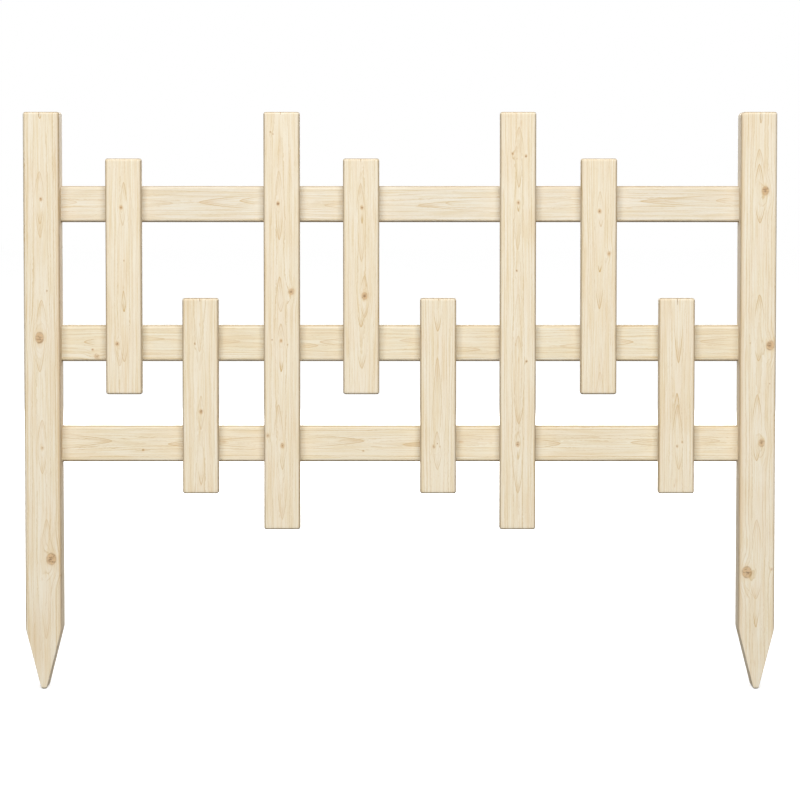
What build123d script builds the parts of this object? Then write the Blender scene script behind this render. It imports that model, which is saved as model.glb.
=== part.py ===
from build123d import *
import os

# A low garden fence panel of planed softwood, in millimetres.
# Two square posts end below in sawn points that are driven into the soil. Three rails run between
# the posts, and eight flat pickets of three lengths are fixed to the front faces of the rails.
# X runs along the panel, Y from front to back and Z up. The origin is on the outer side face of
# the left post, at ground level, in the middle of the post's depth.

# Driving dimensions of the panel
panel_width = 1040        # over the outer side faces of the two posts
ground_clearance = 50     # from the ground up to the lower ends of the long pickets

# Posts
post_width = 50           # along the panel
post_depth = 50           # from front to back
post_length = 800         # from the flat top to the tip of the point
post_arris = 4            # rounding of the four long edges
point_length = 85         # height of the sawn point
nose_width = 7            # blunt tip, seen from the front
nose_radius = 3           # wear rounding of the blunt tip
sawn_easing = 0.8         # sanding of the edges left by the two saw cuts

# Rails
rail_height = 50
rail_thickness = 20
rail_arris = 4
top_rail_drop = 102       # from the top of the posts down to the top rail
upper_rail_gap = 143      # clear height between the top rail and the middle rail
lower_rail_gap = 90       # clear height between the middle rail and the bottom rail

# Pickets
picket_width = 50
picket_thickness = 20
picket_arris = 4
picket_setback = 5        # from the front faces of the posts back to the front faces of the pickets
end_easing = 3            # rounding of the edges at the picket ends and the post tops
long_foot = 93            # long picket below the bottom rail
upper_head = 38           # upper short picket above the top rail
upper_foot = 45           # upper short picket below the middle rail
lower_head = 38           # lower short picket above the middle rail
lower_foot = 43           # lower short picket below the bottom rail

# The pickets from left to right, spread evenly between the posts. Each is set by eye, so it
# stands off the even spacing by its own small shift along the panel
picket_order = ["upper", "lower", "long", "upper", "lower", "long", "upper", "lower"]
picket_shifts = [2.8, -1.3, 1.5, 1.3, -2.2, -1.9, -0.2, -1.9]

# Heights, worked out from the bottom of the longest pickets upwards
bottom_rail_base = ground_clearance + long_foot
middle_rail_base = bottom_rail_base + rail_height + lower_rail_gap
top_rail_base = middle_rail_base + rail_height + upper_rail_gap
post_top = top_rail_base + rail_height + top_rail_drop
post_tip = post_top - post_length

# Depths: the pickets stand behind the front faces of the posts, and the rails behind the pickets
picket_front = -post_depth / 2 + picket_setback
rail_front = picket_front + picket_thickness

# Lower and upper end of each kind of picket
picket_spans = {
    "long": (bottom_rail_base - long_foot, post_top),
    "upper": (middle_rail_base - upper_foot, top_rail_base + rail_height + upper_head),
    "lower": (bottom_rail_base - lower_foot, middle_rail_base + rail_height + lower_head),
}

# The clear gap between neighbouring uprights is the same all along the panel, before the shifts
clear_width = panel_width - 2 * post_width
picket_gap = (clear_width - len(picket_order) * picket_width) / (len(picket_order) + 1)
picket_pitch = picket_width + picket_gap

os.makedirs("parts", exist_ok=True)


def save(piece, name):
    piece.label = name
    export_step(piece, f"parts/{name}.step")


def make_post(centre_x):
    """A square post: a planed bar with rounded arrises, its foot sawn to a two-sided point."""
    with BuildPart() as post:
        with BuildSketch(Plane.XY.offset(post_tip)):
            with Locations((centre_x, 0)):
                RectangleRounded(post_width, post_depth, post_arris)
        extrude(amount=post_length)
        fillet(post.edges().group_by(Axis.Z)[-1], end_easing)

        # The outline seen from the front, wide enough to leave the planed side faces alone
        with BuildSketch(Plane.XZ.offset(-post_depth), mode=Mode.PRIVATE) as outline:
            with BuildLine():
                flare = (post_width - nose_width) / 2 / point_length
                half_top = nose_width / 2 + flare * post_length
                Polyline(
                    (centre_x - half_top, post_top),
                    (centre_x - nose_width / 2, post_tip),
                    (centre_x + nose_width / 2, post_tip),
                    (centre_x + half_top, post_top),
                    close=True,
                )
            make_face()
            fillet(outline.vertices().group_by(Axis.Y)[0], nose_radius)
        extrude(outline.sketch, amount=2 * post_depth, mode=Mode.INTERSECT)

        # The saw cuts leave sharp edges round the point, which are only lightly sanded
        shoulder = post_tip + point_length
        sawn_edges = post.edges().filter_by(lambda e: e.center().Z < shoulder + post_arris)
        sawn_edges = sawn_edges.filter_by(lambda e: abs(abs(e.center().Y) - post_depth / 2) < 0.01)
        fillet(sawn_edges, sawn_easing)
    return post


def make_rail(base):
    """A rail: a planed flat bar that butts on the inner side faces of both posts."""
    with BuildPart() as rail:
        with BuildSketch(Plane.YZ.offset(post_width)):
            with Locations((rail_front + rail_thickness / 2, base + rail_height / 2)):
                RectangleRounded(rail_thickness, rail_height, rail_arris)
        extrude(amount=clear_width)
    return rail


def make_picket(centre_x, foot, head):
    """A picket: a planed flat bar on the rails' front faces, rounded at both ends."""
    with BuildPart() as picket:
        with BuildSketch(Plane.XY.offset(foot)):
            with Locations((centre_x, picket_front + picket_thickness / 2)):
                RectangleRounded(picket_width, picket_thickness, picket_arris)
        extrude(amount=head - foot)
        ends = picket.edges().group_by(Axis.Z)
        fillet(ends[0] + ends[-1], end_easing)
    return picket


for name, centre_x in [("left_post", post_width / 2), ("right_post", panel_width - post_width / 2)]:
    post = make_post(centre_x)
    save(post.part, name)

rail_bases = {"bottom_rail": bottom_rail_base, "middle_rail": middle_rail_base, "top_rail": top_rail_base}
for name, base in rail_bases.items():
    rail = make_rail(base)
    save(rail.part, name)

made = {"long": 0, "upper": 0, "lower": 0}
for place, kind in enumerate(picket_order):
    made[kind] += 1
    foot, head = picket_spans[kind]
    centre_x = post_width / 2 + (place + 1) * picket_pitch + picket_shifts[place]
    picket = make_picket(centre_x, foot, head)
    save(picket.part, f"{kind}_picket_{made[kind]}")
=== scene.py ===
import math

import bpy
import numpy as np
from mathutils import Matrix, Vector, noise


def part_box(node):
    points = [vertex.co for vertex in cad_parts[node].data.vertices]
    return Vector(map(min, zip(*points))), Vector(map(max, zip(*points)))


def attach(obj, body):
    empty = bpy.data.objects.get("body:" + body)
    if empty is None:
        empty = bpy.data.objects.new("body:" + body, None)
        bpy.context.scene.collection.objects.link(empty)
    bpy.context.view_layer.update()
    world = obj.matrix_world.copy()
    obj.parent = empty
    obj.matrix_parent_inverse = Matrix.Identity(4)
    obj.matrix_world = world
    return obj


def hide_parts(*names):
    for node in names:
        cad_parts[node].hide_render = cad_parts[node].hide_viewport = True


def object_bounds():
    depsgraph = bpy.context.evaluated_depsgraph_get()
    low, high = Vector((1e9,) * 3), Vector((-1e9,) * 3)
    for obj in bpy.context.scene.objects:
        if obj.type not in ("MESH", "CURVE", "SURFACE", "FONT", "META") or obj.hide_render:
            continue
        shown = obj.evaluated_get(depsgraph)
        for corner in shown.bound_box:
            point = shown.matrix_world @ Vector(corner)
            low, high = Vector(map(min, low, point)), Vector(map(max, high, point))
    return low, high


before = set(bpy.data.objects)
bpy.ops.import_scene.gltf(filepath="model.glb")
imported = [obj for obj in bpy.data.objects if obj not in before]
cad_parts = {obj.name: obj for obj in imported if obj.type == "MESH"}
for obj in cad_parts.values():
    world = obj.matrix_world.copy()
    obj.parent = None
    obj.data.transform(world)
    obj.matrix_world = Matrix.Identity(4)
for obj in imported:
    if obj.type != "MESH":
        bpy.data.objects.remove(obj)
packed_low, packed_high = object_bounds()


# The camera: far off, a little above the middle of the panel and square to its front, so the posts'
# inner sides show as narrow strips and the point of each stake hangs straight down.
camera_target = Vector((0.520, -0.025, 0.2305))
camera_distance = 4.94
camera_rise = math.radians(3.46)

camera_data = bpy.data.cameras.new("camera")
camera_data.sensor_width = 36
camera_data.lens = 160.65
camera_data.clip_start = 0.1
camera_data.clip_end = 80


def put_in(name, data):
    """A new object in the scene."""
    made = bpy.data.objects.new(name, data)
    bpy.context.scene.collection.objects.link(made)
    return made


camera = put_in("camera", camera_data)
camera_back = Vector((0, -math.cos(camera_rise), math.sin(camera_rise)))
camera.location = camera_target + camera_distance * camera_back
camera.rotation_euler = (-camera_back).to_track_quat("-Z", "Y").to_euler()
bpy.context.scene.camera = camera
bpy.context.scene.view_settings.view_transform = "Standard"


# The studio: one wide softbox in front and above, a weaker one behind, an even pale room, and a plain
# floor at the tips of the stakes. Room and floor are white to the eye, and dark below to the wood.
def softbox(name, place, aim, width, height, power):
    lamp = bpy.data.lights.new(name, "AREA")
    lamp.shape = "RECTANGLE"
    lamp.size = width
    lamp.size_y = height
    lamp.energy = power
    box = put_in(name, lamp)
    box.location = place
    box.rotation_euler = (Vector(aim) - Vector(place)).to_track_quat("-Z", "Y").to_euler()
    box.visible_camera = False


panel_middle = (packed_low + packed_high) / 2
softbox("front_softbox", (0.36, -5.3, 4.95), panel_middle, 6.0, 2.4, 592)
softbox("back_softbox", (0.80, 5.6, 1.9), panel_middle, 4.0, 2.4, 280)


def add(tree, kind, inputs=(), **settings):
    """One shader node. The inputs go in by place or by name, as values or as another node's socket."""
    made = tree.nodes.new("ShaderNode" + kind)
    for name, value in settings.items():
        setattr(made, name, value)
    pairs = inputs.items() if isinstance(inputs, dict) else enumerate(inputs)
    for place, value in pairs:
        if isinstance(value, bpy.types.NodeSocket):
            tree.links.new(value, made.inputs[place])
        elif value is not None:
            made.inputs[place].default_value = value
    return made


def tree_of(values):
    """The node tree that these sockets are in."""
    return next(value.id_data for value in values if isinstance(value, bpy.types.NodeSocket))


def number(work, *values):
    """One sum on numbers."""
    return add(tree_of(values), "Math", values, operation=work).outputs[0]


def vector(work, *values):
    """One sum on vectors."""
    made = add(tree_of(values), "VectorMath", values, operation=work)
    return made.outputs["Value" if work in ("DOT_PRODUCT", "LENGTH", "DISTANCE") else "Vector"]


def step(value, low, high, low_gives=0.0, high_gives=1.0):
    """A soft step from one value to another."""
    inputs = {"Value": value, 1: low, 2: high, 3: low_gives, 4: high_gives}
    made = add(value.id_data, "MapRange", inputs, interpolation_type="SMOOTHSTEP", clamp=False)
    return made.outputs[0]


def seen_directly(tree):
    """1 for what the camera, a mirror or clear glass shows, 0 for the light that falls on the wood."""
    path = add(tree, "LightPath")
    mirrored = number("MAXIMUM", path.outputs["Is Glossy Ray"], path.outputs["Is Transmission Ray"])
    return number("MAXIMUM", path.outputs["Is Camera Ray"], mirrored)


def fresh_tree(owner):
    """The emptied node tree of a material or a world."""
    owner.use_nodes = True
    owner.node_tree.nodes.clear()
    return owner.node_tree


def show(tree, shader, output="OutputMaterial"):
    tree.links.new(shader.outputs[0], add(tree, output).inputs["Surface"])


room = bpy.data.worlds.new("room")
bpy.context.scene.world = room
room_tree = fresh_tree(room)
room_on_wood, room_to_eye = 0.24, 1.0
room_glow = step(seen_directly(room_tree), 0, 1, room_on_wood, room_to_eye)
room_light = add(room_tree, "Background", {"Color": (1, 1, 1, 1), "Strength": room_glow})
show(room_tree, room_light, "OutputWorld")

floor_reach = 34
floor_corners = [
    (panel_middle.x + x * floor_reach, y * floor_reach, packed_low.z)
    for x, y in ((-1, -1), (1, -1), (1, 1), (-1, 1))
]
floor_mesh = bpy.data.meshes.new("floor")
floor_mesh.from_pydata(floor_corners, [], [(0, 1, 2, 3)])
floor = put_in("floor", floor_mesh)
floor_paper = bpy.data.materials.new("floor_paper")
paper_tree = fresh_tree(floor_paper)
paper_place = add(paper_tree, "TexCoord").outputs["Object"]
paper_distance = vector("DISTANCE", paper_place, tuple(panel_middle))
near_glow, far_glow = 0.45, 0.80
paper_glow = step(paper_distance, 0.9, 6.0, near_glow, far_glow)
pale_paper = add(paper_tree, "BsdfDiffuse", {"Color": (0.80, 0.80, 0.80, 1)})
paper_light = add(paper_tree, "Emission", {"Color": (1, 1, 1, 1), "Strength": paper_glow})
paper_shown = add(paper_tree, "AddShader", [pale_paper.outputs[0], paper_light.outputs[0]])
dim_paper = add(paper_tree, "BsdfDiffuse", {"Color": (0.125, 0.121, 0.112, 1)})
paper_choice = [seen_directly(paper_tree), dim_paper.outputs[0], paper_shown.outputs[0]]
paper_mix = add(paper_tree, "MixShader", paper_choice)
show(paper_tree, paper_mix)
floor_mesh.materials.append(floor_paper)


# The two posts: square bars of planed spruce, 50 mm thick, with rounded long edges. Their feet are sawn
# on two sides to a blunt point, and their tops are sanded by hand and have small drying checks.
ARC_STEPS = 4
SHARP_ANGLE = math.radians(38)
PICTURE_GAP = 0.012


def outline(left, right, front, back, across, deep, columns, rows):
    """The section of a planed bar in mm, as its four sides from corner to corner, front side first."""
    def arc(x, y, start):
        turns = np.radians(start + np.arange(ARC_STEPS + 1) * 45 / ARC_STEPS)
        return [(x + across * math.cos(t), y + deep * math.sin(t)) for t in turns]

    x_low, x_high = left + across, right - across
    y_low, y_high = front + deep, back - deep
    front_flat = [(x_low + (x_high - x_low) * c, front) for c in columns]
    back_flat = [(x_low + (x_high - x_low) * c, back) for c in reversed(columns)]
    right_flat = [(right, y_low + (y_high - y_low) * r) for r in rows]
    left_flat = [(left, y_low + (y_high - y_low) * r) for r in reversed(rows)]
    return [
        arc(x_low, y_low, 225) + front_flat + arc(x_high, y_low, 270),
        arc(x_high, y_low, 315) + right_flat + arc(x_high, y_high, 0),
        arc(x_high, y_high, 45) + back_flat + arc(x_low, y_high, 90),
        arc(x_low, y_high, 135) + left_flat + arc(x_low, y_low, 180),
    ]


def drawn_in(distance, radius):
    """How far a rounded edge draws in, at this distance from the end of the bar."""
    if distance >= radius or radius <= 0:
        return 0.0
    return radius - math.sqrt(radius**2 - (radius - distance) ** 2)


def end_cap(sides):
    """A grid over the end of a bar, filled in between the four sides of its last section."""
    front, right, back, left = (np.array(s) for s in sides)
    back, left = back[::-1], left[::-1]
    s = np.linspace(0, 1, len(front))[None, :, None]
    t = np.linspace(0, 1, len(right))[:, None, None]
    filled = (1 - t) * front[None] + t * back[None] + (1 - s) * left[:, None] + s * right[:, None]
    corners = (1 - s) * (1 - t) * front[0] + s * (1 - t) * front[-1]
    corners = corners + (1 - s) * t * back[0] + s * t * back[-1]
    return filled - corners


def smooth_mesh(name, vertices, faces):
    """A new mesh with smooth shading."""
    mesh = bpy.data.meshes.new(name)
    mesh.from_pydata(vertices, [], faces)
    mesh.polygons.foreach_set("use_smooth", [True] * len(faces))
    return mesh


def planed_bar(name, node, along, flat_steps, side_steps, edge, low_ease, high_ease, shape=None,
               near=(), checks=(), bands=2, end_scale=1.5):
    """A planed bar in place of a CAD node, as a grid of sections along it with a grid on each end.

    The eases are the roundings at an end, in mm, on the left, right, front and back. near lists places
    that need closer sections, and checks the drying cracks: (across, which end, length, depth, width).
    Also returns the free part of the bar's flat picture: lowest, highest and leftmost place.
    """
    low, high = (np.array(c) * 1000 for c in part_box(node))
    middle = (low + high) / 2
    size = high - low
    across_axis, along_axis = (0, 2) if along == "Z" else (2, 0)
    half_across, half_deep = size[across_axis] / 2, size[1] / 2
    start, end = low[along_axis], high[along_axis]

    columns = list(np.linspace(0, 1, flat_steps + 1)[1:-1])
    flat = 2 * (half_across - edge)
    for across, _, _, _, width in checks:
        spot = (across + half_across - edge) / flat
        columns = [c for c in columns if abs(c - spot) > 1.4 / flat]
        columns += [spot - width / 2 / flat, spot, spot + width / 2 / flat]
    beside_edge = 0.25 / flat
    columns = sorted(columns + [beside_edge, 1 - beside_edge])
    rows = list(np.linspace(0, 1, side_steps + 1)[1:-1])

    section_spacing = 6
    spots = set(np.round(np.linspace(start, end, int((end - start) / section_spacing) + 1), 2))
    for place, eases in ((start, low_ease), (end, high_ease)):
        inwards = 1 if place == start else -1
        reach = max(eases)
        if reach > 0:
            spots = {s for s in spots if abs(s - place) > reach or s == place}
            for angle in np.linspace(0, 90, 8)[1:]:
                spots.add(round(place + inwards * reach * (1 - math.cos(math.radians(angle))), 3))
    for place, reach in near:
        for offset in np.linspace(-reach, reach, max(int(reach / 0.8), 3)):
            if start + 4 < place + offset < end - 4:
                spots.add(round(place + offset, 2))
    for _, at, length, _, _ in checks:
        for share in (0.25, 0.5, 0.75, 1.0):
            spots.add(round(end - length * share if at == "top" else start + length * share, 2))
    spots = sorted(spots)
    stations = [spots[0]] + [b for a, b in zip(spots, spots[1:]) if b - a > 0.02]

    seed = sum(ord(c) for c in name)
    sections = []
    for place in stations:
        draws = [
            max(drawn_in(place - start, a), drawn_in(end - place, b)) for a, b in zip(low_ease, high_ease)
        ]
        left, right = -half_across + draws[0], half_across - draws[1]
        front, back = -half_deep + draws[2], half_deep - draws[3]
        worn_edge = edge * (1 + 0.10 * noise.noise(Vector((place / 70, seed, 0.5))))
        if shape is None:
            sides = outline(left, right, front, back, worn_edge, worn_edge, columns, rows)
        else:
            sides = shape(place, left, right, front, back, worn_edge, columns, rows)
        sections.append(sides)

    rings = np.array([[p for side in sides for p in side[:-1]] for sides in sections])
    count = rings.shape[1]
    points = np.concatenate([rings, np.repeat(np.array(stations)[:, None, None], count, 1)], 2)

    front_cells, side_cells = len(sections[0][0]) - 1, len(sections[0][1]) - 1
    caps = []
    for index, place in ((0, start), (-1, end)):
        grid = end_cap(sections[index])
        caps.append(np.concatenate([grid, np.full(grid.shape[:2] + (1,), place)], 2))

    # A drying check is a thin groove from the end down the front face and across the end to the heart
    for across, at, length, depth, _ in checks:
        spot = (across + half_across - edge) / flat
        column = ARC_STEPS + 1 + int(np.argmin([abs(c - spot) for c in columns]))
        place, cap = (end, caps[1]) if at == "top" else (start, caps[0])
        share = np.clip(1 - np.abs(points[:, column, 2] - place) / length, 0, 1)
        points[:, column, 1] += depth * share**0.7
        reach = side_cells * 0.55
        for row in range(side_cells):
            sink = depth * max(1 - row / reach, 0) ** 0.6
            cap[row, column, 2] += -sink if at == "top" else sink
            if row == 0:
                cap[row, column, 1] += depth

    # All corners of the mesh, turned into the panel's own frame
    def placed(p):
        u, v, w = p
        if along == "Z":
            return ((middle[0] + u) / 1000, (middle[1] + v) / 1000, w / 1000)
        return (w / 1000, (middle[1] + v) / 1000, (middle[2] - u) / 1000)

    vertices = [placed(p) for ring in points for p in ring]
    lengths = np.linalg.norm(np.roll(rings[len(rings) // 2], -1, 0) - rings[len(rings) // 2], axis=1)
    girth = lengths.sum()
    travelled = np.concatenate([[0], np.cumsum(lengths)])
    seam = 2 * front_cells + side_cells - front_cells // 2
    unrolled = (travelled[:-1] - travelled[seam % count]) % girth

    # The flat picture of the bar: bands with its length cut in equal parts, and the two ends in a strip
    gap = PICTURE_GAP
    end_strip = size[1] * end_scale
    total = bands * girth + end_strip
    usable = 1 - gap * (bands + 2)
    band_height = usable * girth / total
    band_ends = start + (end - start) * np.arange(bands + 1) / bands
    cuts = [int(np.argmin(np.abs(np.array(stations) - place))) for place in band_ends]
    faces, picture = [], []
    for band in range(bands):
        first, last = cuts[band], cuts[band + 1]
        base = gap + band * (band_height + gap)
        run = stations[last] - stations[first]
        for k in range(first, last):
            x0 = gap + (1 - 2 * gap) * (stations[k] - stations[first]) / run
            x1 = gap + (1 - 2 * gap) * (stations[k + 1] - stations[first]) / run
            for j in range(count):
                j2 = (j + 1) % count
                y0 = base + band_height * unrolled[j] / girth
                y1 = y0 + band_height * lengths[j] / girth
                faces.append((k * count + j, k * count + j2, (k + 1) * count + j2, (k + 1) * count + j))
                picture += [(x0, y0), (x0, y1), (x1, y1), (x1, y0)]

    strip = gap + bands * (band_height + gap)
    shown = end_scale * usable / total
    for which, cap in enumerate(caps):
        ring_start = 0 if which == 0 else (len(stations) - 1) * count
        keys = {}
        for row in range(side_cells + 1):
            for column in range(front_cells + 1):
                if row == 0:
                    keys[row, column] = ring_start + column
                elif column == front_cells:
                    keys[row, column] = ring_start + front_cells + row
                elif row == side_cells:
                    keys[row, column] = ring_start + (2 * front_cells + side_cells - column) % count
                elif column == 0:
                    keys[row, column] = ring_start + (2 * front_cells + 2 * side_cells - row) % count
                else:
                    keys[row, column] = len(vertices)
                    vertices.append(placed(cap[row, column]))
        left_end = gap + which * (size[across_axis] * shown + 2 * gap)
        for row in range(side_cells):
            for column in range(front_cells):
                cell = [(row, column), (row, column + 1), (row + 1, column + 1), (row + 1, column)]
                if which == 0:
                    cell.reverse()
                faces.append(tuple(keys[c] for c in cell))
                picture += [
                    (left_end + (cap[c][0] + half_across) * shown, strip + (cap[c][1] + half_deep) * shown)
                    for c in cell
                ]

    mesh = smooth_mesh(name, vertices, faces)
    layer = mesh.uv_layers.new(name="OFBake")
    layer.data.foreach_set("uv", np.array(picture, dtype=np.float32).ravel())
    mesh.set_sharp_from_angle(angle=SHARP_ANGLE)
    mesh.validate()
    bar = put_in(name, mesh)
    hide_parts(node)
    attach(bar, "root")
    return bar, (strip, strip + size[1] * shown, gap + 2 * (size[across_axis] * shown + 2 * gap))


def node_group(name, inputs, outputs):
    """A shader node group with named inputs and outputs, given by their default values.

    One number makes a Float, three a Vector and four a Color.
    """
    group = bpy.data.node_groups.new(name, "ShaderNodeTree")
    for in_out, sockets in (("INPUT", inputs), ("OUTPUT", outputs)):
        for label, default in sockets.items():
            kind = {1: "Float", 3: "Vector", 4: "Color"}[np.size(default)]
            socket = group.interface.new_socket(label, in_out=in_out, socket_type="NodeSocket" + kind)
            socket.default_value = default
    return group, group.nodes.new("NodeGroupInput").outputs, group.nodes.new("NodeGroupOutput").inputs


def grain_noise(place, across, along, seed, detail=1.0):
    """Noise drawn out along the grain: so many of its features per mm across and along the bar."""
    stretched = vector("MULTIPLY_ADD", place, (across, across, along), seed)
    inputs = {"Vector": stretched, "Scale": 1.0, "Detail": detail, "Roughness": 0.5}
    return add(place.id_data, "TexNoise", inputs, noise_dimensions="3D").outputs[0]


def scaled(value, factor):
    """A vector times a number."""
    inputs = {"Vector": value, "Scale": factor}
    return add(value.id_data, "VectorMath", inputs, operation="SCALE").outputs[0]


def product(*values):
    """All the numbers multiplied together."""
    total = values[0]
    for value in values[1:]:
        total = number("MULTIPLY", total, value)
    return total


def kept_in(value):
    """A number held between 0 and 1."""
    return number("MINIMUM", number("MAXIMUM", value, 0.0), 1.0)


def bell(value):
    """1 at zero, falling away on both sides."""
    return number("EXPONENT", product(value, value, -1.0))


# Wood has no straight line in it: every place on the bar is first moved by a part of a millimetre
waver, waver_in, waver_out = node_group(
    "wavering place", {"Place": (0, 0, 0), "Amount": 1.1}, {"Place": (0, 0, 0)}
)
waver_place = vector("MULTIPLY", waver_in["Place"], (0.3, 0.3, 0.17))
waver_noise = add(waver, "TexNoise", {"Vector": waver_place, "Scale": 1.0, "Detail": 2.0})
waver_shift = vector("SUBTRACT", waver_noise.outputs["Color"], (0.5, 0.5, 0.5))
waver_shift = scaled(waver_shift, waver_in["Amount"])
waver.links.new(vector("ADD", waver_in["Place"], waver_shift), waver_out["Place"])

# Growth rings: sleeves round the heart of the log, pale where they grew in spring and ending in a thin
# tan line. Where the face only grazes a ring its line spreads out and pales.
rings, ring_in, ring_out = node_group(
    "growth rings",
    {"Place": (0, 0, 0), "Heart Across": 0.0, "Heart Depth": 0.0, "Bulge": 0.0, "Ring Width": 2.4,
     "Seed": 0.0},
    {"Late Wood": 0.0, "Ring Tone": 0.0},
)
ring_seed = add(rings, "CombineXYZ", [ring_in["Seed"], ring_in["Seed"], ring_in["Seed"]]).outputs[0]
slow_wave = grain_noise(ring_in["Place"], 0.035, 0.0065, ring_seed)
quick_wave = grain_noise(ring_in["Place"], 0.15, 0.020, ring_seed)
ragged_wave = grain_noise(ring_in["Place"], 0.50, 0.022, ring_seed)
apart = add(rings, "SeparateXYZ", [ring_in["Place"]])
beside_heart = number("SUBTRACT", apart.outputs[0], ring_in["Heart Across"])
before_heart = number("SUBTRACT", apart.outputs[1], ring_in["Heart Depth"])
square_beside = number("MULTIPLY", beside_heart, beside_heart)
round_heart = number("SQRT", number("MULTIPLY_ADD", before_heart, before_heart, square_beside))
steepness = number("DIVIDE", number("ABSOLUTE", beside_heart), round_heart)
pointed = number("SQRT", number("ADD", square_beside, 6.0))
waves = product(number("SUBTRACT", slow_wave, 0.5), 3.4)
waves = number("MULTIPLY_ADD", number("SUBTRACT", quick_wave, 0.5), 1.5, waves)
waves = number("MULTIPLY_ADD", number("SUBTRACT", ragged_wave, 0.5), 1.0, waves)
radius = number("ADD", number("MULTIPLY_ADD", pointed, 0.12, round_heart), waves)
radius = number("SUBTRACT", radius, ring_in["Bulge"])
ring_count = number("DIVIDE", radius, ring_in["Ring Width"])
weather = number("MULTIPLY_ADD", ring_count, 0.45, ring_in["Seed"])
weather = add(rings, "TexNoise", {"W": weather, "Scale": 1.0, "Detail": 1.0}, noise_dimensions="1D")
ring_count = number("MULTIPLY_ADD", weather.outputs[0], 1.8, ring_count)
season = number("FRACT", ring_count)
year = number("ADD", number("FLOOR", ring_count), ring_in["Seed"])
year = add(rings, "TexWhiteNoise", {"W": year}, noise_dimensions="1D")
year_tone = add(rings, "SeparateColor", [year.outputs["Color"]]).outputs[1]
late = number("POWER", step(season, 0.60, 0.955), 1.6)
late = product(late, step(season, 1.0, 0.95))
late = product(late, number("MULTIPLY_ADD", year.outputs["Value"], 0.75, 0.25))
late = product(late, step(steepness, 0.04, 0.40, 0.30, 1.0))
rings.links.new(late, ring_out["Late Wood"])
rings.links.new(year_tone, ring_out["Ring Tone"])

# A knot is a branch that grew out from the heart. The grain parts round it and the rings bulge with it.
# It has a tan body with a brown rim and heart, a halo of tighter grain, and a big one has small cracks.
knot, knot_in, knot_out = node_group(
    "knot",
    {"Place": (0, 0, 0), "Heart": (0, 0, 0), "Toward": (0, -1, 0), "Reach": 25.0, "Radius": 3.0,
     "Dark": 1.0, "Bent Place": (0, 0, 0), "Bulge": 0.0, "Marks": (0, 0, 0), "Crack": 0.0},
    {"Bent Place": (0, 0, 0), "Bulge": 0.0, "Marks": (0, 0, 0), "Crack": 0.0},
)
from_heart = vector("SUBTRACT", knot_in["Place"], knot_in["Heart"])
outwards = vector("DOT_PRODUCT", from_heart, knot_in["Toward"])
beside = vector("SUBTRACT", from_heart, scaled(knot_in["Toward"], outwards))
share_out = kept_in(number("DIVIDE", outwards, knot_in["Reach"]))
branch = number("MAXIMUM", product(knot_in["Radius"], share_out), 0.05)
outer_part = step(share_out, 0.02, 0.2)
long_way = vector("LENGTH", vector("MULTIPLY", beside, (1.0, 1.0, 0.28)))
parting = bell(number("DIVIDE", long_way, product(branch, 1.9)))
parted = vector("MULTIPLY", beside, (-0.74, -0.74, 0.0))
parted = scaled(parted, product(parting, outer_part))
knot.links.new(vector("ADD", knot_in["Bent Place"], parted), knot_out["Bent Place"])
swelling = bell(number("DIVIDE", long_way, number("MULTIPLY_ADD", branch, 1.6, 0.8)))
swelling = product(swelling, outer_part, branch)
knot.links.new(number("MULTIPLY_ADD", swelling, 0.95, knot_in["Bulge"]), knot_out["Bulge"])
off_centre = vector("LENGTH", vector("MULTIPLY", beside, (1.0, 1.0, 0.72)))
in_knot = number("DIVIDE", off_centre, branch)
outer_part = product(outer_part, knot_in["Dark"])
body = product(step(number("SUBTRACT", off_centre, branch), 0.9, -1.5), outer_part)
big_one = step(knot_in["Radius"], 3.6, 6.0)
rim = step(number("ABSOLUTE", number("SUBTRACT", in_knot, 0.93)), 0.22, 0.02)
heart_share = number("MULTIPLY_ADD", big_one, -0.6, 0.95)
own_heart = product(step(in_knot, 0.55, 0.14), heart_share)
own_rings = product(number("PINGPONG", off_centre, 0.75), 0.40, step(in_knot, 1.0, 0.9))
brown = number("MAXIMUM", own_heart, own_rings)
brown = number("MAXIMUM", product(rim, big_one, 0.30), brown)
tails = step(number("DIVIDE", long_way, branch), 1.1, 0.35, 0.0, 0.8)
halo = number("MAXIMUM", step(in_knot, 2.0, 0.85), tails)
brown = product(brown, outer_part)
marks_here = add(knot, "CombineXYZ", [body, brown, product(halo, outer_part)]).outputs[0]
knot.links.new(vector("MAXIMUM", knot_in["Marks"], marks_here), knot_out["Marks"])
first_crack = number("ABSOLUTE", vector("DOT_PRODUCT", beside, (0.86, 0.0, 0.5)))
second_crack = number("ABSOLUTE", vector("DOT_PRODUCT", beside, (-0.3, 0.0, 0.95)))
crack = step(number("MINIMUM", first_crack, second_crack), 0.36, 0.08)
crack = product(crack, step(in_knot, 0.85, 0.5), outer_part, big_one)
knot.links.new(number("MAXIMUM", knot_in["Crack"], crack), knot_out["Crack"])

# A grain arch: where the plane just takes the top off a ring, its line comes to a narrow point, with
# the next ring inside it and tan late wood in the tip. Opening is its length, below zero if it hangs.
arch, arch_in, arch_out = node_group(
    "grain arch",
    {"Place": (0, 0, 0), "Tip": (0, 0, 0), "Opening": 30.0, "Half Width": 5.0, "Strength": 0.5,
     "Lines": 0.0, "Stain": 0.0},
    {"Lines": 0.0, "Stain": 0.0},
)
from_tip = add(arch, "SeparateXYZ", [vector("SUBTRACT", arch_in["Place"], arch_in["Tip"])])
side_way = number("ABSOLUTE", from_tip.outputs[0])
share_open = number("DIVIDE", from_tip.outputs[2], arch_in["Opening"])
spread = number("POWER", number("MAXIMUM", share_open, 0.0), 0.62)
beyond = number("SUBTRACT", side_way, product(arch_in["Half Width"], spread))
outer_line = step(number("ABSOLUTE", beyond), 0.85, 0.15)
inner_line = step(number("ABSOLUTE", number("ADD", beyond, 2.3)), 0.7, 0.15, 0.0, 0.55)
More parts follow.
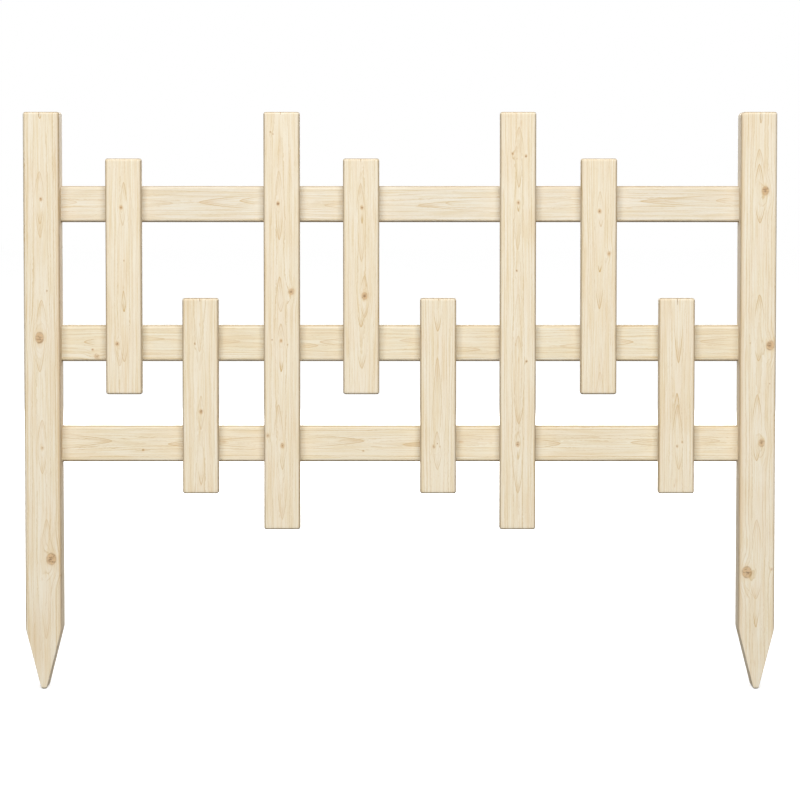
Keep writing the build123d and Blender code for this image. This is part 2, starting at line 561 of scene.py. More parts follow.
line_here = product(number("MAXIMUM", outer_line, inner_line), step(share_open, 1.0, 0.35))
tip_fill = product(step(beyond, 0.5, -0.3), step(share_open, 0.42, 0.0))
face_only = step(number("ABSOLUTE", from_tip.outputs[1]), 6.0, 2.0)
started = product(step(share_open, -0.03, 0.01), face_only, arch_in["Strength"])
line_here = product(line_here, started, 1.35)
arch.links.new(number("MAXIMUM", arch_in["Lines"], line_here), arch_out["Lines"])
filled = product(tip_fill, started, 0.75)
arch.links.new(number("MAXIMUM", arch_in["Stain"], filled), arch_out["Stain"])

# A resin streak or a pin mark: a soft tan fleck in the face, drawn out along the grain
streak, streak_in, streak_out = node_group(
    "resin streak",
    {"Place": (0, 0, 0), "Stain": 0.0, "Spot": (0, 0, 0), "Spread": (1, 6, 10), "Strength": 0.5},
    {"Stain": 0.0},
)
from_spot = vector("SUBTRACT", streak_in["Place"], streak_in["Spot"])
from_spot = vector("LENGTH", vector("DIVIDE", from_spot, streak_in["Spread"]))
stain_here = product(step(from_spot, 1.0, 0.15), streak_in["Strength"])
streak.links.new(number("MAXIMUM", streak_in["Stain"], stain_here), streak_out["Stain"])

# Planed softwood: the colour, roughness and relief that rings, knots, streaks and fibres give together.
# The rounded edges get painted shade as they turn away from front and back, and so can faces that look
# neither way; sawn ends drink in more dirt, and a saw leaves fine ridges.
planed, planed_in, planed_out = node_group(
    "planed softwood",
    {"Place": (0, 0, 0), "Late Wood": 0.0, "Ring Tone": 0.5, "Lines": 0.0, "Marks": (0, 0, 0),
     "Crack": 0.0, "Stain": 0.0, "Spring Wood": (0.88, 0.79, 0.62, 1),
     "Line Wood": (0.62, 0.445, 0.195, 1), "Line Strength": 0.7, "Edge Shade": 1.0, "Side Shade": 0.0,
     "Grain Axis": (0, 0, 1), "Seed": 0.0},
    {"Color": (0, 0, 0, 1), "Roughness": 0.5, "Height": 0.0},
)


def painted(share, under, over, way="MIX"):
    """One colour over another."""
    inputs = {0: share, 6: under, 7: over}
    return add(share.id_data, "Mix", inputs, data_type="RGBA", blend_type=way).outputs[2]


def toned(share, under, tint):
    """The colour under a thin tint."""
    return painted(share, under, (*tint, 1), "MULTIPLY")


plank = planed_in["Place"]
plank_seed = add(planed, "CombineXYZ", [planed_in["Seed"], planed_in["Seed"], planed_in["Seed"]]).outputs[0]
fibres = grain_noise(plank, 1.5, 0.035, plank_seed, 3.0)
striations = grain_noise(plank, 0.55, 0.017, plank_seed, 2.0)
broad_bands = grain_noise(plank, 0.17, 0.010, plank_seed, 1.0)
clouds = grain_noise(plank, 0.045, 0.014, plank_seed)
ducts = step(grain_noise(plank, 2.4, 0.12, plank_seed), 0.66, 0.74)
facing = add(planed, "NewGeometry").outputs["Normal"]
front_share = number("ABSOLUTE", vector("DOT_PRODUCT", facing, (0.0, 1.0, 0.0)))
grain_share = number("ABSOLUTE", vector("DOT_PRODUCT", facing, planed_in["Grain Axis"]))
end_grain = step(grain_share, 0.50, 0.85)
sawn_slope = product(step(grain_share, 0.17, 0.23), step(grain_share, 0.40, 0.30))
sawn_slope = product(sawn_slope, step(front_share, 0.5, 0.1))
# Painted shade on the rounded edges, darker as they turn away from the front and the back
painted_edge_shade = product(step(front_share, 0.985, 0.68), step(front_share, 0.02, 0.10))
painted_edge_shade = product(painted_edge_shade, step(grain_share, 0.35, 0.05), planed_in["Edge Shade"])
# Painted shade on the faces that look neither to the front nor to the back, where a bar asks for it
painted_side_shade = product(step(front_share, 0.20, 0.04), planed_in["Side Shade"])
line_share = number("MULTIPLY_ADD", end_grain, 0.5, planed_in["Line Strength"])
line_share = number("MULTIPLY", planed_in["Late Wood"], line_share)
line_share = kept_in(number("MAXIMUM", line_share, planed_in["Lines"]))
colour = painted(line_share, planed_in["Spring Wood"], planed_in["Line Wood"])
for value, low, high, most, tint in (
    (striations, 0.42, 0.66, 0.75, (0.935, 0.885, 0.775)),
    (broad_bands, 0.42, 0.70, 0.60, (0.965, 0.925, 0.85)),
    (clouds, 0.38, 0.70, 0.70, (0.985, 0.955, 0.93)),
    (planed_in["Ring Tone"], 0.50, 1.0, 0.60, (0.965, 0.93, 0.87)),
    (fibres, 0.42, 0.62, 0.35, (0.93, 0.90, 0.85)),
):
    colour = toned(step(value, low, high, 0.0, most), colour, tint)
colour = toned(product(ducts, 0.35), colour, (0.74, 0.62, 0.46))
mark = add(planed, "SeparateXYZ", [planed_in["Marks"]]).outputs
mottle = grain_noise(plank, 0.32, 0.46, plank_seed, 1.0)
pale_flecks = product(mark[0], step(mottle, 0.48, 0.34))
dark_flecks = product(mark[0], step(mottle, 0.52, 0.64))
cracked = product(planed_in["Crack"], step(mottle, 0.42, 0.56))
for share, cover, paint in (
    (mark[2], 0.36, (0.74, 0.55, 0.29)),
    (planed_in["Stain"], 1.0, (0.64, 0.42, 0.19)),
    (mark[0], 0.72, (0.63, 0.40, 0.195)),
    (mark[1], 0.78, (0.22, 0.11, 0.045)),
    (pale_flecks, 0.30, (0.76, 0.50, 0.27)),
    (dark_flecks, 0.55, (0.26, 0.13, 0.055)),
    (cracked, 0.60, (0.07, 0.035, 0.017)),
):
    colour = painted(product(share, cover), colour, (*paint, 1))
# End grain and sawn faces keep the wood's own colours; the side faces and the rounded edges get painted
# shade
for share, tint in (
    (end_grain, (0.55, 0.49, 0.415)), (painted_side_shade, (0.76, 0.72, 0.66)),
    (sawn_slope, (0.93, 0.89, 0.83)), (painted_edge_shade, (0.68, 0.62, 0.54)),
):
    colour = toned(share, colour, tint)
planed.links.new(colour, planed_out["Color"])
dullness = number("MULTIPLY_ADD", planed_in["Late Wood"], -0.12, 0.66)
for value, weight in ((fibres, 0.08), (mark[0], -0.16), (end_grain, 0.12)):
    dullness = number("MULTIPLY_ADD", value, weight, dullness)
planed.links.new(dullness, planed_out["Roughness"])
teeth = number("PINGPONG", add(planed, "SeparateXYZ", [plank]).outputs[2], 1.1)
teeth = product(teeth, sawn_slope)
relief = product(line_share, 0.035)
for value, weight in ((fibres, 0.03), (ducts, -0.03), (mark[0], 0.06), (teeth, 0.12), (cracked, -0.35)):
    relief = number("MULTIPLY_ADD", value, weight, relief)
planed.links.new(relief, planed_out["Height"])


def softwood(name, bar, node, along, heart_across, heart, ring_width, knots, arches, streaks, seed,
             spring=(0.882, 0.802, 0.650), line_strength=0.62, edge_shade_strength=1.0, side_shade_strength=0.0):
    """The planed softwood of one bar, cut from its own place in a log.

    heart lists how deep the heart of the log lies behind the front face: (place along the bar, depth).
    A knot is (across, along, radius, darkness), with its side if that isn't the front. An arch is
    (across, along, opening, half width, strength), and a streak (across, along, half width, half length,
    strength), with its depth if that isn't 7 mm. All are in mm: across is counted from the bar's centre
    line, or on a side face from its middle, and along is in the panel's own frame.
    """
    low, high = (np.array(c) * 1000 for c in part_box(node))
    along_axis = 2 if along == "Z" else 0
    across_axis = 2 - along_axis
    front = -(high[1] - low[1]) / 2
    half_across = (high[across_axis] - low[across_axis]) / 2

    material = bpy.data.materials.new(name)
    tree = fresh_tree(material)
    origin = (low + high) / 2
    origin[along_axis] = 0
    here = scaled(add(tree, "TexCoord").outputs["Object"], 1000.0)
    here = vector("SUBTRACT", here, tuple(origin))
    if along == "X":
        turned = add(tree, "SeparateXYZ", [here]).outputs
        turned = [number("MULTIPLY", turned[2], -1.0), turned[1], turned[0]]
        here = add(tree, "CombineXYZ", turned).outputs[0]
    here = add(tree, "Group", {"Place": here}, node_tree=waver).outputs[0]

    start, end = low[along_axis], high[along_axis]
    share = add(tree, "SeparateXYZ", [here]).outputs[2]
    share = kept_in(number("DIVIDE", number("SUBTRACT", share, start), end - start))
    bend = add(tree, "FloatCurve", {"Value": share})
    curve = bend.mapping.curves[0]
    heights, depths = zip(*sorted(heart))
    spots = [((h - start) / (end - start), d / 100) for h, d in zip(heights, depths)]
    curve.points[0].location = spots[0]
    curve.points[-1].location = spots[-1]
    for spot in spots[1:-1]:
        curve.points.new(*spot)
    bend.mapping.update()
    heart_depth = number("MULTIPLY_ADD", bend.outputs[0], 100.0, front)

    bent, bulge, marks, crack = here, None, None, None
    for across, place, radius_here, dark, *side in knots:
        heart_point = Vector((heart_across, front + float(np.interp(place, heights, depths)), place))
        side = side[0] if side else "front"
        if side in ("front", "back"):
            tip = Vector((across, front if side == "front" else -front, place))
        else:
            tip = Vector((half_across if side == "right" else -half_across, across, place))
        heart_point.z -= 0.25 * (tip - heart_point).length
        way = tip - heart_point
        bent, bulge, marks, crack = add(tree, "Group", {
            "Place": here, "Heart": tuple(heart_point), "Toward": tuple(way.normalized()),
            "Reach": way.length, "Radius": radius_here, "Dark": dark, "Bent Place": bent,
            "Bulge": bulge, "Marks": marks, "Crack": crack,
        }, node_tree=knot).outputs.values()

    lines, stain = None, None
    for across, place, opening, half_width, strength in arches:
        lines, stain = add(tree, "Group", {
            "Place": here, "Tip": (across, front, place), "Opening": opening, "Half Width": half_width,
            "Strength": strength, "Lines": lines, "Stain": stain,
        }, node_tree=arch).outputs.values()
    for across, place, half_width, half_length, strength, *depth in streaks:
        stain = add(tree, "Group", {
            "Place": here, "Stain": stain, "Spot": (across, front, place),
            "Spread": (half_width, *(depth or [7.0]), half_length), "Strength": strength,
        }, node_tree=streak).outputs[0]

    grown = add(tree, "Group", {
        "Place": bent, "Heart Across": heart_across, "Heart Depth": heart_depth, "Bulge": bulge,
        "Ring Width": ring_width, "Seed": seed,
    }, node_tree=rings).outputs
    wood = add(tree, "Group", {
        "Place": bent, "Late Wood": grown["Late Wood"], "Ring Tone": grown["Ring Tone"], "Lines": lines,
        "Marks": marks, "Crack": crack, "Stain": stain, "Spring Wood": (*spring, 1),
        "Line Strength": line_strength, "Edge Shade": edge_shade_strength, "Side Shade": side_shade_strength,
        "Grain Axis": (0, 0, 1) if along == "Z" else (1, 0, 0), "Seed": seed,
    }, node_tree=planed).outputs
    bump = add(tree, "Bump", {"Strength": 1.0, "Distance": 0.001, "Height": wood["Height"]})
    shader = add(tree, "BsdfPrincipled", {
        "Base Color": wood["Color"], "Roughness": wood["Roughness"], "Normal": bump.outputs[0],
        "Specular IOR Level": 0.28,
    })
    show(tree, shader)
    bar.data.materials.append(material)


# The screws: zinc-plated, countersunk and cross-recessed, driven in until their heads lie a hair below
# the wood. Each bar's screws are one piece, and each head has its own seat cut in the bar.
zinc = bpy.data.materials.new("zinc_plate")
zinc_tree = fresh_tree(zinc)
zinc_place = add(zinc_tree, "TexCoord").outputs["Object"]
zinc_spangle = add(zinc_tree, "TexNoise", {"Vector": zinc_place, "Scale": 1300.0, "Detail": 3.0}).outputs[0]
zinc_haze = add(zinc_tree, "TexNoise", {"Vector": zinc_place, "Scale": 260.0, "Detail": 2.0}).outputs[0]
zinc_colour = painted(step(zinc_haze, 0.35, 0.7), (0.40, 0.40, 0.39, 1),
                      (0.27, 0.267, 0.258, 1))
zinc_bump = add(zinc_tree, "Bump", {"Strength": 0.4, "Distance": 0.00005, "Height": zinc_spangle})
zinc_shader = add(zinc_tree, "BsdfPrincipled", {
    "Base Color": zinc_colour, "Metallic": 1.0, "Normal": zinc_bump.outputs[0],
    "Roughness": step(zinc_spangle, 0.3, 0.7, 0.30, 0.46),
})
show(zinc_tree, zinc_shader)

# In mm, for a head 8 mm wide: the radii of its seat 1 mm above the wood and 2.3 mm below it, how deep
# the head sits, and the arms of the cross recess
SEAT_TOP, SEAT_FLOOR = 5.35, 2.05
SCREW_SINK = 0.28
ARM_LENGTH, ARM_HALF_WIDTH = 2.4, 0.55
SEAT_SIDES, SCREW_SIDES = 24, 32


def sink_screws(name, bar, strip, facing, head, spots):
    """Screws in one face of a bar, in seats cut for them. Each is drawn 8 mm wide, then scaled to its head.

    strip is the free part of the bar's flat picture, where each seat gets a square of its own.
    """
    scale = head / 8000
    facing = Vector(facing)
    stand = facing.to_track_quat("Z", "Y").to_matrix()
    cell_pitch = 2.1
    cell = min((strip[1] - strip[0]) * 0.48, (1 - PICTURE_GAP - strip[2]) / cell_pitch / len(spots))
    seats, seat_faces, seat_picture = [], [], []
    corners, faces = [], []
    angles = np.radians(np.arange(SEAT_SIDES) * 360 / SEAT_SIDES)
    for order, spot in enumerate(spots):
        spot = Vector(spot)
        first = len(seats)
        for radius, height in ((SEAT_TOP, 1.0), (SEAT_FLOOR, -2.3)):
            for angle in angles:
                flat_place = Vector((radius * math.cos(angle), radius * math.sin(angle), height))
                seats.append(spot + stand @ flat_place * scale)
                seat_picture.append((strip[2] + cell * (cell_pitch * order + 1 + flat_place.x / SEAT_TOP),
                                     strip[0] + cell * (1 + flat_place.y / SEAT_TOP)))
        floor_first = first + SEAT_SIDES
        seat_faces.append([first + k for k in range(SEAT_SIDES)])
        seat_faces.append([floor_first + k for k in reversed(range(SEAT_SIDES))])
        for k in range(SEAT_SIDES):
            after = (k + 1) % SEAT_SIDES
            seat_faces.append([first + k, floor_first + k, floor_first + after, first + after])

        # The recess, the head, the cone under it and the start of the shaft, as radius and height
        twist = 0.61 * order + 0.2 * math.sin(7 * order)
        first = len(corners)
        rows = []
        for k in range(SCREW_SIDES):
            angle = 2 * math.pi * k / SCREW_SIDES
            off_arm = (angle + math.pi / 4) % (math.pi / 2) - math.pi / 4
            cross = min(ARM_LENGTH / math.cos(off_arm), ARM_HALF_WIDTH / max(abs(math.sin(off_arm)), 1e-6))
            rows.append([(0.55 * cross, -1.6), (0.98 * cross, -0.07), (1.05 * cross, 0.0), (3.82, 0.0),
                         (4.0, -0.10), (4.0, -0.22), (1.75, -2.4), (1.75, -6.0)])
        sink = Vector((0, 0, -SCREW_SINK))
        for k, row in enumerate(rows):
            angle = 2 * math.pi * k / SCREW_SIDES + twist
            for radius, height in row:
                place = Vector((radius * math.cos(angle), radius * math.sin(angle), height)) + sink
                corners.append(spot + stand @ place * scale)
        pit, foot = len(corners), len(corners) + 1
        corners.append(spot + stand @ (Vector((0, 0, -2.0)) + sink) * scale)
        corners.append(spot + stand @ (Vector((0, 0, -6.0)) + sink) * scale)
        depth = len(rows[0])
        for k in range(SCREW_SIDES):
            here = first + k * depth
            after = first + (k + 1) % SCREW_SIDES * depth
            faces.append((pit, here, after))
            for j in range(depth - 1):
                faces.append((here + j, here + j + 1, after + j + 1, after + j))
            faces.append((foot, after + depth - 1, here + depth - 1))

    seat_mesh = smooth_mesh("seats", seats, seat_faces)
    seat_layer = seat_mesh.uv_layers.new(name="OFBake")
    for loop in seat_mesh.loops:
        seat_layer.data[loop.index].uv = seat_picture[loop.vertex_index]
    seat_cutter = put_in("seats", seat_mesh)
    cut = bar.modifiers.new("seats", "BOOLEAN")
    cut.operation = "DIFFERENCE"
    cut.solver = "EXACT"
    cut.object = seat_cutter
    graph = bpy.context.evaluated_depsgraph_get()
    seated = bpy.data.meshes.new_from_object(
        bar.evaluated_get(graph), preserve_all_data_layers=True, depsgraph=graph
    )
    bar.modifiers.clear()
    bar.data = seated
    seated.name = bar.name
    seated.set_sharp_from_angle(angle=SHARP_ANGLE)
    bpy.data.objects.remove(seat_cutter)

    mesh = smooth_mesh(name, corners, faces)
    mesh.set_sharp_from_angle(angle=math.radians(32))
    mesh.validate()
    mesh.materials.append(zinc)
    screws = put_in(name, mesh)
    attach(screws, "root")


# The stake's point in mm: half the post's width, the height of the point, and its blunt nose
post_half = 25.0
point_height = 85.0
nose_half_width = 3.5
nose_round = 3.0
saw_ease = 0.8


def post_section(tip):
    """The section of a post, which the two saw cuts narrow towards the tip."""
    slope = (post_half - nose_half_width) / point_height
    lean = math.atan(slope)
    round_centre = nose_half_width - nose_round * (1 - math.sin(lean)) / math.cos(lean)
    round_top = nose_round * (1 - math.sin(lean))

    def shape(place, left, right, front, back, edge, columns, rows):
        up = place - tip
        if up >= point_height:
            return outline(left, right, front, back, edge, edge, columns, rows)
        if up >= round_top:
            half = nose_half_width + slope * up
        else:
            half = round_centre + math.sqrt(max(nose_round**2 - (nose_round - up) ** 2, 0))
        cut = post_half - half
        across = max(edge - cut, saw_ease)
        deep = edge - math.sqrt(max(edge**2 - (edge - cut) ** 2, 0)) if cut < edge else 0
        across = min(across, half * 0.6)
        worn = 1.6 * max(1 - up / 30, 0)
        return outline(-half, half, front, back, across, max(deep, saw_ease) + worn, columns, rows)
    return shape


def dark_checks(node, checks):
    """Each drying crack is also laid in as a dark streak along it."""
    ends = {"top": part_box(node)[1][2] * 1000, "bottom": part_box(node)[0][2] * 1000}
    return [(across, ends[end], width / 2 + 0.3, length, 0.95) for across, end, length, _, width in checks]


# Some knots come out on the back and the sides. A long screw through each post holds the end of a rail.
post_tip = packed_low.z * 1000
post_wood = {
    "left_post": (
        (3.4, 3, 3, 3), [(-2.4, "top", 8, 2.2, 0.7)], [(316, 9), (9, 9)],
        -1.2, [(-172, 21), (60, 19), (316, 20), (628, 22)], 2.7,
        [(-0.4, 508, 2, 1), (7.2, 381.3, 0.9, 0.8), (-3.2, 316.3, 6, 0.9),
         (-0.4, 164.1, 2, 0.55), (10.7, 9.1, 6.2, 0.85), (24.5, -13, 0.8, 0.6),
         (4, 334, 5, 0.9, "back"), (-9, 22, 3, 0.9, "back"),
         (-6, 158, 4, 0.8, "right"), (-6, 448, 4.5, 0.9, "left")],
        [(-1.1, 618.7, 8, 2.2, 0.7), (-1.8, 454.7, 50, 7, 0.35), (-1.8, 474, 22, 4.5, 0.4),
         (-2.5, 546, -42, 8, 0.3), (-0.4, 368.9, -42, 8.5, 0.35), (-3.2, 269.2, 42, 8, 0.35),
         (-0.4, 202.8, -42, 8, 0.3), (-0.4, 128.1, 36, 7, 0.3), (3.8, -101.6, 60, 7, 0.25),
         (5.1, 64.4, -42, 8, 0.3)],
        [(19, 562.6, 1.6, 45, 0.35), (-1.8, -18.6, 1, 4, 0.35), (12.1, -29.7, 0.9, 4, 0.3),
         (7.2, -73.9, 0.8, 55, 0.25), (23.8, 92.1, 1.4, 26, 0.35), (-9, -100, 13, 75, 0.22),
         (24, 228, 5.5, 900, 0.40, 60)], 3.1),
    "right_post": (
        (6, 3.2, 3.2, 3.2), [(1.8, "top", 15, 1.6, 0.5)], [(519, 7), (306, 7), (171, 7), (-9, 8)],
        0.8, [(-172, 22), (110, 20), (376, 19), (628, 21)], 2.8,
        [(8.7, 519.4, 4.8, 0.9), (16.7, 305.9, 5, 0.85), (5.5, 171, 4.4, 0.68),
         (-13, -9.3, 6.2, 0.85), (20.9, -4.7, 1.4, 0.5), (-10.7, 309.4, 0.7, 0.6),
         (16.3, 253.3, 0.7, 0.6), (-5, 292, 5, 0.9, "back"), (9, 16, 3.5, 0.9, "back"),
         (5, 506, 4, 0.9, "left"), (-6, 158, 3.6, 0.8, "right")],
        [(2.2, 612.4, 14, 2.2, 0.5), (0.4, 576.5, -40, 8, 0.35), (0.4, 556.2, -34, 6.5, 0.5),
         (1.6, 475, 27, 7, 0.55), (1.8, 376.2, -36, 7, 0.5), (0.8, 284.5, 18, 5.2, 0.5),
         (-0.6, 238, -46, 7.5, 0.45), (-1.1, 146.1, 20, 5, 0.5), (-0.4, 64.4, -44, 8, 0.3),
         (-0.7, -85.7, 28, 4.4, 0.55), (-1.3, -46.3, 24, 8, 0.3)],
        [(-12.1, 249.9, 0.9, 10, 0.3), (-0.4, -76.7, 1.8, 8, 0.3), (-2, -136.2, 1.8, 8, 0.3),
         (-10.7, 108.7, 0.7, 22, 0.3), (7.3, 88, 0.7, 36, 0.3), (-9.3, 417.3, 0.7, 30, 0.25),
         (11.5, 417.3, 0.7, 30, 0.25), (-24, 228, 5.5, 900, 0.34, 60)], 7.7),
}
for node, wood in post_wood.items():
    eases, checks, near, heart_across, heart, ring_width, knots, arches, streaks, seed = wood
    name = "post_" + node.split("_")[0]
    bar, strip = planed_bar(name, node, "Z", 16, 16, 4.0, (0, 0, 3.0, 3.0), eases, post_section(post_tip),
                            near + [(post_tip + 1.3, 1.2)], checks)
    outer_side = 0 if node == "left_post" else 1
    screw_spots = []
    for rail in ("top_rail", "middle_rail", "bottom_rail"):
        rail_low, rail_high = (Vector(c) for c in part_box(rail))
        screw_spots.append(((rail_low + rail_high) / 2).copy())
        screw_spots[-1].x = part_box(node)[outer_side][0]
    sink_screws("screws_" + node, bar, strip, (2 * outer_side - 1, 0, 0), 11.0, screw_spots)
    streaks = streaks + dark_checks(node, checks)
    # The posts' rounded edges get a lighter painted shade than the laths'
    softwood(name + "_wood", bar, node, "Z", heart_across, heart, ring_width, knots, arches, streaks, seed,
             spring=(0.870, 0.797, 0.655), line_strength=0.66, edge_shade_strength=0.55)


# The three rails: planed laths, 50 mm high and 20 mm thick, cut square to fit between the posts. Two
# small screws go in from the back wherever a picket crosses, and some knots come out at the back.
screw_offset = 0.012    # metres, across and along, from the middle of a crossing to each of its two screws
rail_wood = {
    "top_rail": (
        (0.840, 0.783, 0.664), -2, [(50, 18), (350, 20), (700, 17), (990, 19)],
        [(6, 232, 4.2, 0.9, "back"), (-8, 655, 3.2, 0.9, "back")],
        [(-2.7, 241.8, 88, 10, 0.5), (-4.8, 298.2, 34, 6, 0.5), (1.5, 545, 100, 8, 0.45),
         (-4.1, 853.8, 140, 9, 0.45), (-4.8, 887.2, 60, 6, 0.3), (1.5, 415.7, 34, 5, 0.3),
         (-1.3, 205.7, -90, 8, 0.25), (-2.7, 784.3, -70, 7, 0.3), (-4.8, 958.1, 30, 5, 0.35),
         (-2.7, 72.2, -40, 6, 0.3), (-1.3, 583.6, 14, 3, 0.4)],
        [(0.8, 552, 0.9, 10, 0.4), (6.2, 837.1, 0.8, 9, 0.4), (-2.7, 731.4, 0.9, 12, 0.3),
         (-1.6, 584, 0.9, 1.6, 0.4), (-5.5, 104.2, 1.5, 6, 0.2)], 1.3),
    "middle_rail": (
        (0.850, 0.788, 0.640), -2, [(50, 19), (420, 17), (640, 20), (990, 18)],
        [(9, 93, 1.3, 1), (18.4, 98.6, 3, 0.45), (3, 388, 3.6, 0.9, "back"),
         (-6, 862, 4.6, 0.9, "back")],
        [(-1.8, 81.2, 20, 4.6, 0.55), (-1.9, 408.7, 46, 6, 0.45), (3.1, 406, -34, 5, 0.4),
         (-1.8, 844.1, -34, 5.5, 0.5), (-3.9, 520, 70, 6, 0.3), (8.6, 631.3, -60, 5, 0.35),
         (3.8, 742.5, 60, 5, 0.35), (-2.5, 937.2, 60, 6, 0.3), (-6, 193.2, -60, 4, 0.35),
         (-2.5, 297.5, -70, 6, 0.25)],
        [(-5.6, 201.5, 1.2, 14, 0.45), (-1.1, 172.3, 0.8, 3, 0.35), (-2.5, 831.5, 2.6, 8, 0.2),
         (-6, 503.3, 1.2, 8, 0.25), (3.1, 389.3, 1.6, 7, 0.25), (3.5, 742.5, 0.7, 26, 0.3)], 5.9),
    "bottom_rail": (
        (0.882, 0.812, 0.660), -1, [(50, 17), (300, 20), (640, 18), (990, 20)],
        [(8.6, 162.6, 1.3, 1), (9.9, 468.8, 1, 0.9), (-5, 305, 3.8, 0.9, "back"),
         (7, 742, 4.4, 0.9, "back")],
        [(-3.9, 119.4, -78, 10, 0.5), (0.3, 197.3, 40, 5, 0.5), (-1.8, 248.8, 84, 8, 0.45),
         (-3.9, 469.9, -92, 9.5, 0.5), (1, 524.2, 130, 9, 0.5), (-0.3, 743.2, -44, 7, 0.5),
         (-1.7, 841.3, 50, 5, 0.45), (-3.9, 965.1, -50, 6, 0.3), (8.6, 172.3, -40, 2.4, 0.3),
         (-9.5, 798.2, -120, 5, 0.25)],
        [(-3.9, 102.8, 2, 20, 0.22), (1, 208.5, 3, 10, 0.3), (-2.5, 275.2, 3, 6, 0.4),
         (-3.9, 447.7, 2.2, 24, 0.25), (2.4, 533.9, 3, 10, 0.4), (-2.5, 604.8, 2.6, 6, 0.5),
         (0.3, 731.4, 2.4, 11, 0.25), (-2.5, 867.7, 2, 10, 0.25)], 9.2),
}
for node, (spring, heart_across, heart, *figure, seed) in rail_wood.items():
    name = "rail_" + node.split("_")[0]
    bar, strip = planed_bar(name, node, "X", 12, 5, 4.0, (0, 0, 0, 0), (0, 0, 0, 0), bands=3, end_scale=1.2)
    screw_spots = []
    rail_low, rail_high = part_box(node)
    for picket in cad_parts:
        picket_low, picket_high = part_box(picket)
        if "picket" in picket and picket_low[2] < rail_low[2] and picket_high[2] > rail_high[2]:
            middle_x = (picket_low[0] + picket_high[0]) / 2
            middle_z = (rail_low[2] + rail_high[2]) / 2
            slip = 0.002 * math.sin(40 * middle_x + 9 * middle_z)
            first = (middle_x - screw_offset + slip, rail_high[1], middle_z + screw_offset - slip / 2)
            second = (middle_x + screw_offset + slip / 2, rail_high[1], middle_z - screw_offset - slip)
            screw_spots += [first, second]
    sink_screws("screws_" + node, bar, strip, (0, 1, 0), 8.0, screw_spots)
    # The rails' top and bottom faces get painted shade as well
    softwood(name + "_wood", bar, node, "X", heart_across, heart, 2.5, *figure, seed, spring=spring,
             line_strength=0.70, side_shade_strength=1.0)


